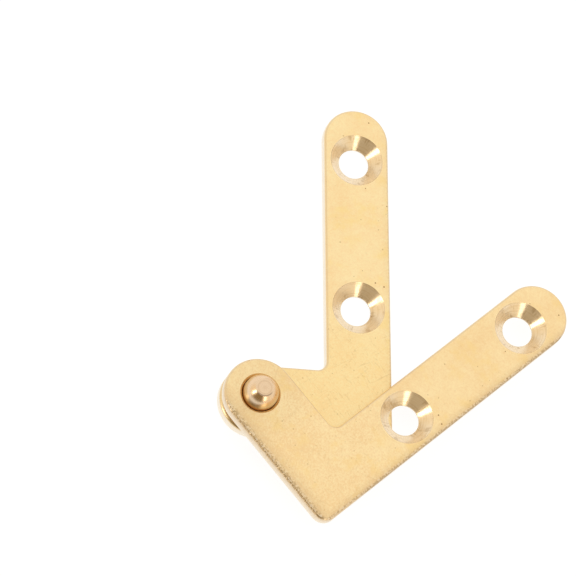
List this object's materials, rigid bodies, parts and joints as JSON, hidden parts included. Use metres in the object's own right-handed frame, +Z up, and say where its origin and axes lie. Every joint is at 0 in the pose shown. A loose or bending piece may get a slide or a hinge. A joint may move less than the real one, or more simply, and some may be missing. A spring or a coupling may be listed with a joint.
{
  "type": "pivot door hinge",
  "caption": "Cranked brass pivot hinge for a cabinet door: countersunk leaves on a riveted pin, a washer between them; the upper leaf swings and lifts off.",
  "frame": {"origin": "on the pivot pin's axis, at the underside of the lower leaf, which is screwed to the cabinet", "axes": "+Z up the pin, through the washer and the upper leaf; +Y along the lower leaf's long arm, from the elbow to the round tip; +X along the lower leaf's short arm, from the pin to the elbow"},
  "size_m": [0.0533, 0.0664, 0.0077],
  "materials": {
    "leaf_brass": "satin, tumbled edges",
    "pin_brass": "turned, slightly duller",
    "washer_brass": "plain turned"
  },
  "bodies": {
    "fixed_leaf": {"lower_leaf": "leaf_brass", "pivot_pin": "pin_brass"},
    "washer": {"spacer_washer": "washer_brass"},
    "swing_leaf": {"upper_leaf": "leaf_brass"}
  },
  "joints": [
    {"name": "leaf_swing", "type": "hinge", "parent": "fixed_leaf", "child": "washer", "pos_m": [0, 0, 0.003], "axis": [0, 0, 1], "continuous": true},
    {"name": "leaf_lift", "type": "slide", "parent": "washer", "child": "swing_leaf", "axis": [0, 0, 1], "range_m": [0, 0.0055]}
  ]
}
